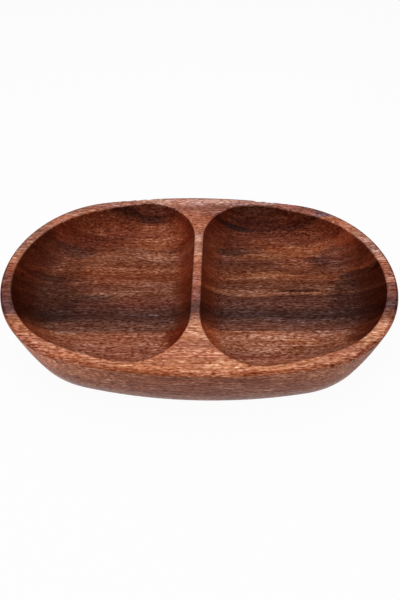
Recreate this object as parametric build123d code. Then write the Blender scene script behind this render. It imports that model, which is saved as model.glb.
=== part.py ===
from build123d import *
import os
from math import atan2, degrees, sqrt

# Divided serving bowl of edge-glued hardwood staves, carved to an oval with two compartments.
# +X is the long axis of the oval and the run of the grain, +Y points to the back, +Z up.
# The origin is the middle of the flat underside. Lengths are in millimetres, angles in degrees.

# The oval seen from above: its box, and the radius of the flat arcs along its two long sides
overall_length = 304.8
overall_width = 177.8
overall_height = 50.8
outer_side_radius = 450.0

# The outside wall, upright at the rim and curling in towards the flat foot
belly_radius = 370.0
foot_edge_radius = 3.5
rim_outer_edge_radius = 2.5

# The two compartments, each a part of one inner oval, with the divider between them
rim_width_at_ends = 8.1
rim_width_at_sides = 4.2
inner_side_radius = 280.0
divider_thickness = 6.4
compartment_corner_radius = 43.0
corner_room_share = 0.95  # the most that a corner takes of the side arc beside the divider
compartment_depth = 25.0
wall_draft_angle = 10.0
cove_radius = 24.0
rim_inner_edge_radius = 1.6

# The glued-up blank: the middle stave takes what the others leave of the overall width
front_edge_stave_width = 13.5
front_stave_width = 36.4
back_stave_width = 51.0
back_edge_stave_width = 27.4
glue_line_thickness = 0.15
seam_turn_angle = 2.0

# How far the cutting shapes run past the wood
overrun = 12.0

half_length = overall_length / 2
half_width = overall_width / 2


def tip_radius(along, across, side_radius):
    """Radius of the end arcs of an oval whose four arcs run into each other without a corner."""
    return (2 * side_radius * across - along**2 - across**2) / (2 * (side_radius - along))


def wall_section(radius):
    """The outside cut through, from the middle of an arc of the oval out to the wall."""

    def wall_point(z):
        return (radius - belly_radius + sqrt(belly_radius**2 - (overall_height - z) ** 2), 0, z)

    wall = ThreePointArc(wall_point(0), wall_point(overall_height / 2), wall_point(overall_height))
    rest = Polyline(wall @ 1, (0, 0, overall_height), (0, 0, 0), wall @ 0)
    section = make_face(Wire([wall] + rest.edges()))
    foot_corner = section.vertices().sort_by_distance(wall @ 0)[0]
    section = fillet(foot_corner, foot_edge_radius)
    rim_corner = section.vertices().sort_by_distance(wall @ 1)[0]
    return fillet(rim_corner, rim_outer_edge_radius)


def turned(section, centre_x, centre_y, start_angle, turn_angle):
    """What a section sweeps when it is turned about an upright axis from a start angle."""
    return Pos(centre_x, centre_y) * Rot(0, 0, start_angle) * revolve(section, Axis.Z, turn_angle)


def outside():
    """The oval body before the compartments are cut: two turned ends and two turned sides."""
    end_radius = tip_radius(half_length, half_width, outer_side_radius)
    end_x = half_length - end_radius
    side_y = half_width - outer_side_radius
    join_angle = degrees(atan2(-side_y, end_x))
    end_section = wall_section(end_radius)
    right_end = turned(end_section, end_x, 0, -join_angle, 2 * join_angle)
    left_end = mirror(right_end, Plane.YZ)
    side_section = wall_section(outer_side_radius)
    back_side = turned(side_section, 0, side_y, join_angle, 180 - 2 * join_angle)
    behind_middle = Pos(0, overall_width / 2) * Box(overall_length, overall_width, 3 * overall_height)
    back_side = back_side & behind_middle
    return right_end + left_end + back_side + mirror(back_side, Plane.XZ)


def oval_join(along, across, side_radius):
    """Where the back side arc of an oval runs into its right end arc."""
    end_radius = tip_radius(along, across, side_radius)
    reach = side_radius / (side_radius - end_radius)
    return (along - end_radius) * reach, (side_radius - across) * (reach - 1)


def oval_face(along, across, side_radius):
    """Flat oval of half length along and half width across."""
    join_x, join_y = oval_join(along, across, side_radius)
    back_side = ThreePointArc((-join_x, join_y), (0, across), (join_x, join_y))
    right_end = ThreePointArc((join_x, join_y), (along, 0), (join_x, -join_y))
    front_side = ThreePointArc((join_x, -join_y), (0, -across), (-join_x, -join_y))
    left_end = ThreePointArc((-join_x, -join_y), (-along, 0), (-join_x, join_y))
    return make_face(Wire([back_side, right_end, front_side, left_end]))


def compartment():
    """The right-hand hollow: leaning walls that turn into a flat floor through a wide cove."""
    along = half_length - rim_width_at_ends
    across = half_width - rim_width_at_sides
    divider_side = divider_thickness / 2
    beside_divider = Pos(divider_side + half_length, 0) * Rectangle(overall_length, overall_width)
    mouth = oval_face(along, across, inner_side_radius) & beside_divider
    side_arc_end = oval_join(along, across, inner_side_radius)[0]
    widest_corner = inner_side_radius * (side_arc_end - divider_side) / (inner_side_radius + side_arc_end)
    corner_radius = min(compartment_corner_radius, corner_room_share * widest_corner)
    mouth = fillet(mouth.vertices().sort_by(Axis.X)[:2], corner_radius)
    hollow = extrude(
        Pos(0, 0, overall_height) * mouth, -compartment_depth, taper=wall_draft_angle
    )
    floor = hollow.faces().sort_by(Axis.Z)[0]
    return fillet(floor.edges(), cove_radius)


def carved_bowl():
    """The whole bowl as it is carved, before it is told apart into the staves it is made of."""
    right_hollow = compartment()
    bowl = outside() - right_hollow - mirror(right_hollow, Plane.YZ)
    rim = bowl.faces().filter_by(Plane.XY).sort_by(Axis.Z)[-1]
    mouth_edges = [edge for wire in rim.inner_wires() for edge in wire.edges()]
    return fillet(mouth_edges, rim_inner_edge_radius)


def slice_between(bowl, front_y, back_y):
    """What the bowl holds between two seam planes, which cross the long axis a little askew."""
    slab = Box(
        overall_length + 2 * overrun, back_y - front_y, overall_height + 2 * overrun
    )
    middle = Pos(0, (front_y + back_y) / 2, overall_height / 2)
    return bowl & (Rot(0, 0, seam_turn_angle) * middle * slab)


def write_part(name, solid):
    solid.label = name
    export_step(solid, f"parts/{name}.step")


os.makedirs("parts", exist_ok=True)

front_edge_seam = front_edge_stave_width - half_width
front_seam = front_edge_seam + front_stave_width
back_seam = half_width - back_edge_stave_width
middle_seam = back_seam - back_stave_width
seams = [front_edge_seam, front_seam, middle_seam, back_seam]

half_glue = glue_line_thickness / 2
front_faces = [-half_width - overrun] + [seam + half_glue for seam in seams]
back_faces = [seam - half_glue for seam in seams] + [half_width + overrun]
staves = ["front_edge_stave", "front_stave", "middle_stave", "back_stave", "back_edge_stave"]
glue_lines = ["front_edge_glue_line", "front_glue_line", "middle_glue_line", "back_glue_line"]

bowl = carved_bowl()

for name, front_y, back_y in zip(staves, front_faces, back_faces):
    write_part(name, slice_between(bowl, front_y, back_y))

for name, seam in zip(glue_lines, seams):
    write_part(name, slice_between(bowl, seam - half_glue, seam + half_glue))
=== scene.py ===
from math import cos, radians, sin

import bpy
from mathutils import Matrix, Vector

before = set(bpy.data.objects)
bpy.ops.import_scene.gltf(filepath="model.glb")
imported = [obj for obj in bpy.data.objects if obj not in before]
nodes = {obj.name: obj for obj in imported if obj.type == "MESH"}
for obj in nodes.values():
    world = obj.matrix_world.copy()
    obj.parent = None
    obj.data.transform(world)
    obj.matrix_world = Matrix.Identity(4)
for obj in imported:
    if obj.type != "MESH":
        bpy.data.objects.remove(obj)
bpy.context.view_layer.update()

# The camera stands in front of the bowl and looks down on it, turned a little to the right, as
# the photograph does. The bowl's long axis fills the width of the frame.
camera_distance = 0.350766
camera_height_angle = radians(54.602)
camera_turn = radians(3.142)
camera_roll = radians(-1.317)
focal_length_px = 397.79
frame_width_px = 400
frame_height_px = 600
view_centre_px = (198.04, 309.37)

turn = Matrix.Rotation(camera_turn, 3, "Z")
level_right = turn @ Vector((1, 0, 0))
level_up = turn @ Vector((0, sin(camera_height_angle), cos(camera_height_angle)))
away = turn @ Vector((0, -cos(camera_height_angle), sin(camera_height_angle)))
right = cos(camera_roll) * level_right + sin(camera_roll) * level_up
up = cos(camera_roll) * level_up - sin(camera_roll) * level_right
camera_data = bpy.data.cameras.new("camera")
camera = bpy.data.objects.new("camera", camera_data)
bpy.context.scene.collection.objects.link(camera)
camera.matrix_world = Matrix.Translation(away * camera_distance) @ Matrix(
    (right, up, away)
).transposed().to_4x4()
camera_data.lens = focal_length_px * camera_data.sensor_width / frame_height_px
camera_data.shift_x = (frame_width_px / 2 - view_centre_px[0]) / frame_height_px
camera_data.shift_y = (view_centre_px[1] - frame_height_px / 2) / frame_height_px
camera_data.clip_start = camera_distance / 100
camera_data.clip_end = camera_distance * 100
bpy.context.scene.camera = camera


# The front edge stave is the narrow board of oiled hardwood along the front of the bowl. It is
# glued to the front stave before the carving, which leaves it as the middle of the front wall.
class Shade:
    """An output of a shader node. Python's operators on it add the Math nodes."""

    def __init__(self, tree, output=None):
        self.tree = tree
        self.output = output

    def node(self, kind, inputs=(), output=0, stops=None, **settings):
        """A node of this kind: its settings are made first, then the values or links of its sockets."""
        made = self.tree.nodes.new(kind)
        for name, setting in settings.items():
            setattr(made, name, setting)
        if stops:
            ramp = made.color_ramp
            while len(ramp.elements) < len(stops):
                ramp.elements.new(1)
            for element, (place, colour) in zip(ramp.elements, stops):
                element.position = place
                element.color = colour
        for name, given in dict(inputs).items():
            if isinstance(given, Shade):
                self.tree.links.new(given.output, made.inputs[name])
            else:
                made.inputs[name].default_value = given
        return Shade(self.tree, made.outputs[output])

    def maths(self, operation, *values):
        return self.node("ShaderNodeMath", enumerate(values), operation=operation)

    def __add__(self, other):
        return self.maths("ADD", self, other)

    def __sub__(self, other):
        return self.maths("SUBTRACT", self, other)

    def __rsub__(self, other):
        return self.maths("SUBTRACT", other, self)

    def __mul__(self, other):
        return self.maths("MULTIPLY", self, other)

    def __truediv__(self, other):
        return self.maths("DIVIDE", self, other)

    __radd__ = __add__
    __rmul__ = __mul__

    def size(self):
        return self.maths("ABSOLUTE", self)

    def exponent(self):
        return self.maths("EXPONENT", self)

    def between(self, low, high):
        """0 on low's side, 1 on high's side and smooth between them. Low may be the larger one."""
        ends = {"Value": self, "From Min": low, "From Max": high}
        return self.node("ShaderNodeMapRange", ends, interpolation_type="SMOOTHSTEP")

    def part(self, vector, axis):
        return self.node("ShaderNodeSeparateXYZ", {0: vector}, axis)

    def mixed(self, share, other, blend_type="MIX"):
        """This colour turned into another by a share, which may be a Shade or a number."""
        sockets = {0: share, 6: self, 7: other}
        return self.node("ShaderNodeMix", sockets, 2, data_type="RGBA", blend_type=blend_type)

    def feed(self, surface, socket):
        self.tree.links.new(self.output, surface.inputs[socket])


def paint(red, green, blue):
    """A colour as a painter's chart gives it, from 0 to 255, as the shader's linear colour."""

    def linear(share):
        return share / 12.92 if share <= 0.04045 else ((share + 0.055) / 1.055) ** 2.4

    return tuple(linear(value / 255) for value in (red, green, blue)) + (1,)


def stave_wood(
    name, bands, lean, seed, rim, end_grain, hollow_patches=(), rim_smudges=(), tilt=0.0
):
    """Oiled hardwood of one board. The rings, streaks and pores run through the board along X.

    bands: how far back each colour lies at the floor, in mm, with its colour in the left and in the
    right compartment. lean: how far back the rings move for each mm of height. tilt: how far back
    the grain runs for each mm to the right. seed: a number that makes each board's grain its own.
    rim: how many times lighter in red, green and blue the rim and the divider's top are than the
    hollows, partly paler wood and partly a painted sheen. end_grain: the tint of the walls that
    cut the grain across. hollow_patches: patches in the hollows, most of them darker or paler spots
    in the wood, some painted shade at the compartments' ends and some painted light at their backs,
    each with its middle (x, y), its half length and breadth in mm, its colour and how strong it is.
    rim_smudges: such patches on the rim, the divider's top and the outside.
    """
    mm_per_metre = 1000
    floor_height = 26.0
    rim_height = 49.0
    rim_rounding = 1.3
    bowl_height = 50.8
    material = bpy.data.materials.new(name)
    material.use_nodes = True
    tree = material.node_tree
    surface = tree.nodes["Principled BSDF"]
    wood = Shade(tree)
    place = wood.node("ShaderNodeTexCoord", output="Object")
    along, across, height = (wood.part(place, axis) * mm_per_metre for axis in "XYZ")
    facing = wood.node("ShaderNodeNewGeometry", output="Normal")
    facing_x, facing_y = (wood.part(facing, axis) for axis in "XY")

    def cloud(length, breadth, start=0.0, detail=2.0, thickness=None):
        """Noise from -1 to 1 in spots of this length along the grain and breadth across it."""
        seed_step = 7.3
        cell = {
            0: along / length + (seed * seed_step + start),
            1: ring / breadth,
            2: depth / (thickness or breadth),
        }
        where = wood.node("ShaderNodeCombineXYZ", cell)
        noise = {"Vector": where, "Scale": 1.0, "Detail": detail}
        return wood.node("ShaderNodeTexNoise", noise) * 2 - 1

    # Across the growth rings, with the slow wander and the small waves of a real board.
    ring = across - along * tilt + (height - floor_height) * lean
    depth = height - across * lean
    wander = cloud(120, 34, 1.7) * 5.0
    waves = cloud(38, 9, 3.1) * 1.6
    ring = ring + wander + waves

    # The bands, which change from the left compartment's to the right one's at the divider.
    first, last = bands[0][0], bands[-1][0]
    share = (ring - first) / (last - first)
    left_stops = [((at - first) / (last - first), left) for at, left, _ in bands]
    right_stops = [((at - first) / (last - first), right) for at, _, right in bands]
    left_colour = wood.node("ShaderNodeValToRGB", {0: share}, stops=left_stops)
    right_colour = wood.node("ShaderNodeValToRGB", {0: share}, stops=right_stops)
    colour = left_colour.mixed(along.between(-25, 25), right_colour)

    # The outer wall faces away from the bowl's middle. The sides of the divider do so too, so a
    # lozenge round the middle, 80 mm long and 160 mm across, is left out.
    end_share = 0.33
    outwards = (facing_x * along * end_share + facing_y * across).between(0, 8)
    beyond_lozenge = (along.size() / 40 + across.size() / 80).between(0.98, 1.02)
    outer_wall = outwards * beyond_lozenge
    hollow = height.between(rim_height + rim_rounding, rim_height) * (1 - outer_wall)
    rim_and_outside = 1 - hollow
    ends = facing_x.size().between(0.15, 0.8)

    # The patches: spots in the wood, painted shade and painted light. Those of the hollows run on
    # over the rim at the bowl's left end.
    left_end = along.between(-90, -110)
    all_patches = [(hollow + rim_and_outside * left_end * 0.75, *patch) for patch in hollow_patches]
    all_patches += [(rim_and_outside, *patch) for patch in rim_smudges]
    for region, middle_x, middle_y, half_length, half_breadth, patch_colour, strength in all_patches:
        off_x = (along - middle_x) / half_length
        off_y = (ring - middle_y) / half_breadth
        ragged_edge = cloud(14, 5, middle_x) * 0.5
        spot = (1.25 - off_x * off_x - off_y * off_y + ragged_edge).between(0, 1)
        colour = colour.mixed(spot * region * strength, patch_colour)

    # The grain: broad streaks, single fibres, short dark pores, thin lines and a soft mottling.
    long_streaks = cloud(130, 3.2, 5.3, thickness=14)
    short_streaks = cloud(55, 1.5, 6.1, thickness=6)
    streaks = long_streaks + short_streaks * 0.8
    fibres = cloud(6, 0.9, 8.9, 1.0)
    dashes = cloud(3.2, 1.1, 4.4, 1.5)
    lines = cloud(40, 1.1, 7.7, 1.0, thickness=3)
    mottle = cloud(30, 12, 2.3)
    hue = cloud(26, 5, 9.9)
    pores = (dashes + streaks * 0.3).between(0.02, 0.4)
    grain = fibres * 1.0 - dashes * 1.1 - pores * 0.6
    tone = grain * (1 - ends * 0.6) + lines * 0.75 + streaks * 0.6 + mottle * 0.3 + 0.1
    tone = tone * (hollow * 0.15 + outer_wall * 0.25 + 0.85)

    # Dark strokes are redder than the wood between them, and light strokes are paler.
    spreads = (tone * 0.8, tone * 1.35 + hue * 0.15, tone * 1.8 + hue * 0.4)
    shares = {axis: spread.exponent() for axis, spread in enumerate(spreads)}
    strokes = wood.node("ShaderNodeCombineXYZ", shares)

    # The rim is paler than the hollows: paler wood and a painted sheen. The outside is duller, but
    # has painted light high up near the ends.
    oil_tint = (1.02, 0.92, 0.8, 1)
    outside_tint = (0.9, 0.74, 0.67, 1)
    upper_end_painted_light = (1.9, 2.2, 2.3, 1)
    upper_wall = height.between(20, 44) * height.between(bowl_height, 46)
    towards_ends = along.between(-40, -110) + along.between(40, 110) * 0.5
    # Painted sheen and paler wood on the rim and divider's top, a quarter as much on the outside.
    colour = colour.mixed(rim_and_outside * (1 - outer_wall * 0.75), rim, "MULTIPLY")
    colour = colour.mixed(1.0, oil_tint, "MULTIPLY")
    colour = colour.mixed(ends * hollow, end_grain, "MULTIPLY")
    colour = colour.mixed(outer_wall, outside_tint, "MULTIPLY")
    # Painted light high on the outside near the ends, twice as strong at the left end.
    colour = colour.mixed(outer_wall * (upper_wall * towards_ends), upper_end_painted_light, "MULTIPLY")
    colour = wood.node("ShaderNodeVectorMath", {0: colour, 1: strokes}, operation="MULTIPLY")

    # The clear coat is thin. It shines most on the rim and low on the outer wall.
    low_wall = outer_wall * height.between(20, 3)
    coat = rim_and_outside * (1 - outer_wall * 0.4) * 0.12 + low_wall * 0.4 + 0.02
    dent_depth = 0.0001
    dents = {"Height": grain * dent_depth, "Strength": 0.5, "Distance": 1.0}
    colour.feed(surface, "Base Color")
    (pores * 0.15 + 0.5).feed(surface, "Roughness")
    coat.feed(surface, "Coat Weight")
    wood.node("ShaderNodeBump", dents).feed(surface, "Normal")
    surface.inputs["Specular IOR Level"].default_value = 0.06
    surface.inputs["Coat Roughness"].default_value = 0.28
    return material


def dress(node, material):
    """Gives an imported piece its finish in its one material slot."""
    piece = nodes[node]
    piece.data.materials.clear()
    piece.data.materials.append(material)


# How much lighter the rim is than the hollows: paler wood and a painted sheen.
front_rim_tone_and_sheen = (1.57, 1.74, 1.75, 1)
front_end_grain = (0.78, 0.42, 0.25, 1)
front_edge_bands = [
    (-100, paint(150, 96, 76), paint(146, 92, 74)),
    (-88, paint(160, 98, 74), paint(156, 96, 74)),
    (-80, paint(172, 108, 78), paint(166, 102, 74)),
    (-72, paint(156, 94, 68), paint(160, 100, 74)),
    (-64, paint(140, 84, 60), paint(150, 92, 68)),
]
front_edge_wood = stave_wood(
    "front_edge_wood", front_edge_bands, lean=0.3, seed=1, rim=front_rim_tone_and_sheen, end_grain=front_end_grain
)
dress("front_edge_stave", front_edge_wood)

# The front stave is a wider board of the same pale orange-brown hardwood, glued between the front
# edge stave and the middle stave. The front of both compartments is carved in it.
front_bands = [
    (-92, paint(128, 80, 65), paint(132, 82, 65)),
    (-74, paint(178, 112, 85), paint(176, 110, 85)),
    (-68, paint(162, 98, 75), paint(164, 100, 77)),
    (-62, paint(152, 92, 71), paint(154, 93, 72)),
    (-57, paint(148, 88, 68), paint(132, 78, 60)),
    (-52, paint(154, 94, 71), paint(158, 102, 79)),
    (-45, paint(150, 92, 69), paint(168, 110, 85)),
    (-40, paint(124, 74, 59), paint(166, 108, 85)),
    (-36, paint(116, 69, 54), paint(130, 80, 63)),
    (-28, paint(98, 57, 46), paint(98, 59, 51)),
]
front_smudges = [
    (-13, -46, 12, 13, paint(104, 37, 16), 0.85),
    (108, -46, 15, 10, paint(112, 62, 42), 0.4),
    (128, -43, 16, 12, paint(62, 22, 11), 0.7),
    (84, -53, 20, 5, paint(118, 68, 48), 0.6),
]
front_wood = stave_wood(
    "front_wood", front_bands, lean=0.3, seed=2, rim=front_rim_tone_and_sheen, end_grain=front_end_grain,
    hollow_patches=front_smudges
)
dress("front_stave", front_wood)

# The middle stave is the darkest board, a brown hardwood with a purple-black band. It is glued
# between the front and back staves, and the middle of both floors is carved in it.
# How much lighter the rim is than the hollows: paler wood and a painted sheen.
middle_rim_tone_and_sheen = (2.05, 2.25, 2.7, 1)
middle_end_grain = (0.78, 0.45, 0.28, 1)
middle_bands = [
    (-48, paint(104, 62, 48), paint(112, 68, 54)),
    (-36, paint(107, 65, 51), paint(112, 68, 55)),
    (-30, paint(88, 51, 42), paint(90, 55, 46)),
    (-25, paint(74, 43, 37), paint(66, 41, 36)),
    (-20, paint(86, 50, 42), paint(70, 42, 37)),
    (-14, paint(108, 60, 48), paint(96, 56, 45)),
    (-7, paint(110, 61, 45), paint(90, 50, 38)),
    (-5, paint(116, 66, 48), paint(82, 44, 32)),
    (-2, paint(130, 78, 58), paint(138, 87, 67)),
    (3, paint(117, 66, 49), paint(112, 66, 48)),
    (8, paint(128, 73, 54), paint(102, 54, 38)),
    (14, paint(122, 66, 45), paint(118, 66, 45)),
    (24, paint(110, 60, 42), paint(108, 60, 42)),
]
# Darker and paler spots in the wood; the first two are painted shade at the compartments' ends.
middle_spots_and_shade = [
    # Painted shade at the left end.
    (-128, -8, 44, 26, paint(50, 24, 17), 0.75),
    # Painted shade at the right end.
    (132, -6, 28, 30, paint(46, 18, 12), 0.7),
    (134, 16, 18, 4, paint(44, 19, 13), 0.7),
    (-112, -26, 22, 5, paint(50, 28, 26), 0.5),
    (-86, -17, 26, 14, paint(56, 31, 24), 0.35),
    (-84, 5, 20, 5, paint(90, 46, 33), 0.5),
    (-12, 2, 11, 8, paint(92, 38, 20), 0.6),
    (46, -4.5, 20, 1.6, paint(158, 104, 82), 0.9),
    (84, 0.5, 20, 2, paint(68, 30, 17), 0.9),
    (-88, -7, 20, 4.5, paint(70, 38, 28), 0.7),
]
middle_wood = stave_wood(
    "middle_wood", middle_bands, lean=0.36, seed=3, rim=middle_rim_tone_and_sheen, end_grain=middle_end_grain,
    hollow_patches=middle_spots_and_shade, tilt=0.03
)
dress("middle_stave", middle_wood)

# The back stave is a wide board of reddish hardwood with dark figure. It is glued behind the
# middle stave, and the back of both floors and much of the back walls is carved in it.
# How much lighter the rim is than the hollows: paler wood and a pale pink painted sheen.
back_rim_tone_and_sheen = (2.85, 4.4, 6.2, 1)
back_end_grain = (0.9, 0.6, 0.5, 1)
back_bands = [
    (0, paint(120, 64, 42), paint(106, 58, 41)),
    (10, paint(124, 66, 45), paint(104, 54, 38)),
    (16, paint(122, 63, 40), paint(128, 72, 48)),
    (22, paint(128, 69, 45), paint(108, 58, 39)),
    (30, paint(122, 68, 48), paint(94, 50, 35)),
    (35, paint(116, 64, 44), paint(98, 51, 36)),
    (40, paint(138, 82, 60), paint(118, 66, 47)),
    (47, paint(112, 60, 42), paint(105, 58, 40)),
    (56, paint(120, 60, 39), paint(114, 56, 36)),
    (66, paint(106, 50, 31), paint(104, 48, 29)),
    (76, paint(112, 60, 42), paint(86, 44, 30)),
]
# Darker and paler spots in the wood, with painted light and painted shade where marked.
back_spots_light_and_shade = [
    (-112, 8, 22, 12, paint(70, 38, 29), 0.6),
    (-108, 44, 20, 9, paint(68, 33, 23), 0.8),
    (-75, 25, 22, 6, paint(134, 74, 50), 0.5),
    (62, 18, 26, 4, paint(146, 88, 58), 0.7),
    (104, 35, 14, 6, paint(84, 46, 38), 0.8),
    (28, 45, 16, 5, paint(74, 42, 33), 0.8),
    # Painted light at the back of the right compartment.
    (82, 46, 30, 8, paint(142, 78, 50), 0.8),
    (34, 56, 16, 9, paint(84, 40, 27), 0.6),
    (-94, 56, 26, 12, paint(92, 36, 18), 0.8),
    (-34, 40, 16, 5, paint(158, 98, 72), 0.5),
    # Painted shade at the left end of the left compartment.
    (-136, 38, 16, 34, paint(58, 25, 14), 0.6),
    # Painted light at the back of the right compartment.
    (62, 40, 20, 6, paint(142, 84, 58), 0.6),
    # Painted light on the back wall of the left compartment.
    (-38, 62, 26, 15, paint(156, 90, 62), 0.7),
    # Painted light at the back of the right compartment, near its end.
    (108, 51, 14, 6, paint(146, 78, 48), 0.6),
    # Painted light on the right end wall.
    (131, 50, 14, 8, paint(164, 92, 62), 0.7),
    (132, 16, 18, 4, paint(44, 19, 13), 0.8),
    (9, 62, 10, 14, paint(104, 60, 46), 0.6),
    (-110, 24, 14, 7, paint(80, 42, 30), 0.5),
    # Painted light at the back of the right compartment.
    (84, 31, 20, 8, paint(140, 82, 60), 0.7),
    (8, 38, 9, 26, paint(118, 68, 50), 0.5),
    # Painted shade at the left end of the left compartment.
    (-128, 6, 22, 14, paint(54, 26, 18), 0.7),
]
back_wood = stave_wood(
    "back_wood", back_bands, lean=0.2, seed=4, rim=back_rim_tone_and_sheen, end_grain=back_end_grain,
    hollow_patches=back_spots_light_and_shade, tilt=0.02
)
dress("back_stave", back_wood)

# The back edge stave is the narrow reddish hardwood board along the back of the bowl. It is glued
# to the back stave, and after the carving it is the back rim and the top of the back walls.
back_edge_bands = [
    (50, paint(120, 62, 40), paint(102, 50, 33)),
    (62, paint(116, 56, 35), paint(98, 45, 27)),
    (68, paint(114, 54, 34), paint(94, 42, 26)),
    (72, paint(112, 54, 34), paint(72, 32, 21)),
    (76, paint(92, 44, 29), paint(94, 43, 28)),
    (82, paint(104, 54, 39), paint(76, 36, 24)),
    (90, paint(124, 72, 54), paint(116, 68, 52)),
]
# Dark streaks in the wood, after a patch of painted light on the left back wall.
back_edge_spots_and_light = [
    (-36, 66, 26, 7, paint(150, 84, 56), 0.6),
    (-70, 79, 20, 3, paint(44, 19, 15), 0.7),
    (-46, 76, 14, 2.5, paint(48, 22, 17), 0.6),
    (32, 71, 18, 3, paint(38, 16, 12), 0.8),
    (46, 77, 22, 2.5, paint(44, 18, 13), 0.5),
    (95, 66, 20, 3, paint(46, 20, 14), 0.4),
]
back_edge_rim_smudges = [
    (-112, 72, 16, 8, paint(94, 49, 33), 0.8),
    (-42, 90, 16, 7, paint(134, 90, 72), 0.9),
    (18, 92, 16, 7, paint(132, 84, 65), 0.9),
    (78, 86, 14, 7, paint(104, 50, 37), 0.9),
    (107, 77, 9, 8, paint(62, 30, 24), 0.9),
]
back_edge_wood = stave_wood(
    "back_edge_wood", back_edge_bands, lean=0.2, seed=5, rim=back_rim_tone_and_sheen, end_grain=back_end_grain,
    hollow_patches=back_edge_spots_and_light, rim_smudges=back_edge_rim_smudges, tilt=-0.02
)
dress("back_edge_stave", back_edge_wood)


# The glue lines are the four cured joints that hold the staves together, each a thin film of
# brown wood glue. It was spread and clamped before the carving, and lies flush under the coat.
def glue(name):
    """Cured glue: about as dark as the wood, with paler specks, and under the same clear coat."""
    material = bpy.data.materials.new(name)
    material.use_nodes = True
    surface = material.node_tree.nodes["Principled BSDF"]
    film = Shade(material.node_tree)
    place = film.node("ShaderNodeTexCoord", output="Object")
    specks = film.node("ShaderNodeTexNoise", {"Vector": place, "Scale": 160.0, "Detail": 3.0})
    stops = [(0.3, paint(74, 42, 28)), (0.7, paint(112, 66, 46))]
    film.node("ShaderNodeValToRGB", {0: specks}, stops=stops).feed(surface, "Base Color")
    surface.inputs["Specular IOR Level"].default_value = 0.06
    surface.inputs["Roughness"].default_value = 0.45
    surface.inputs["Coat Weight"].default_value = 0.1
    surface.inputs["Coat Roughness"].default_value = 0.28
    return material


cured_glue = glue("wood_glue")
for joint in ("front_edge", "front", "middle", "back"):
    dress(f"{joint}_glue_line", cured_glue)

# The floor is a wide table top, a plain sheet that is only set down. The camera and the coat see
# it as white paper that keeps a soft shadow, and the bowl is lit by it as by a grey one.
table_size = 6.0
paper_glow_share = 0.94
bpy.ops.object.select_all(action="DESELECT")
bpy.ops.mesh.primitive_plane_add(size=table_size)
table = bpy.context.object
table.name = "table_top"
white = bpy.data.materials.new("white_table")
white.use_nodes = True
table.data.materials.append(white)
grey_top = white.node_tree.nodes["Principled BSDF"]
grey_top.inputs["Base Color"].default_value = (0.3, 0.3, 0.3, 1)
grey_top.inputs["Roughness"].default_value = 0.8
paper = Shade(white.node_tree)
glow = paper.node("ShaderNodeEmission", {"Strength": 1.0})
sheet = paper.node("ShaderNodeBsdfDiffuse", {"Color": (0.9, 0.9, 0.9, 1)})
white_top = paper.node("ShaderNodeMixShader", {0: paper_glow_share, 1: sheet, 2: glow})
camera_rays = paper.node("ShaderNodeLightPath", output="Is Camera Ray")
glossy_rays = paper.node("ShaderNodeLightPath", output="Is Glossy Ray")
sides = {0: camera_rays + glossy_rays, 1: Shade(white.node_tree, grey_top.outputs[0]), 2: white_top}
paper.node("ShaderNodeMixShader", sides).feed(white.node_tree.nodes["Material Output"], "Surface")

# The studio round the bowl is a white room, which is only light and nothing built. It is white
# to the camera and gives the bowl a weak even light from all sides.
world = bpy.data.worlds.new("studio")
bpy.context.scene.world = world
world.use_nodes = True
room = Shade(world.node_tree)
even_light = room.node("ShaderNodeBackground", {"Color": (1, 1, 1, 1), "Strength": 0.3})
white_wall = room.node("ShaderNodeBackground", {"Color": (0.99, 0.99, 0.99, 1), "Strength": 1.0})
camera_rays = room.node("ShaderNodeLightPath", output="Is Camera Ray")
seen = room.node("ShaderNodeMixShader", {0: camera_rays, 1: even_light, 2: white_wall})
seen.feed(world.node_tree.nodes["World Output"], "Surface")


# Three soft boxes light the bowl: a large one hangs over it, and two smaller ones stand in front
# of it on the left and on the right.
def soft_lamp(name, place, size, power):
    """A square lamp at this place, in metres and watts, that shines at the middle of the bowl."""
    box = bpy.data.lights.new(name, "AREA")
    box.size = size
    box.energy = power
    lamp = bpy.data.objects.new(name, box)
    bpy.context.scene.collection.objects.link(lamp)
    facing = Vector(place).to_track_quat("Z", "Y")
    lamp.matrix_world = Matrix.LocRotScale(Vector(place), facing, None)


soft_lamp("overhead_lamp", (0.0, 0.15, 0.9), 0.7, 3.1)
soft_lamp("left_lamp", (-0.75, -0.45, 0.78), 0.5, 3.3)
soft_lamp("right_lamp", (0.75, -0.3, 0.78), 0.5, 2.0)
bpy.context.scene.view_settings.view_transform = "Standard"
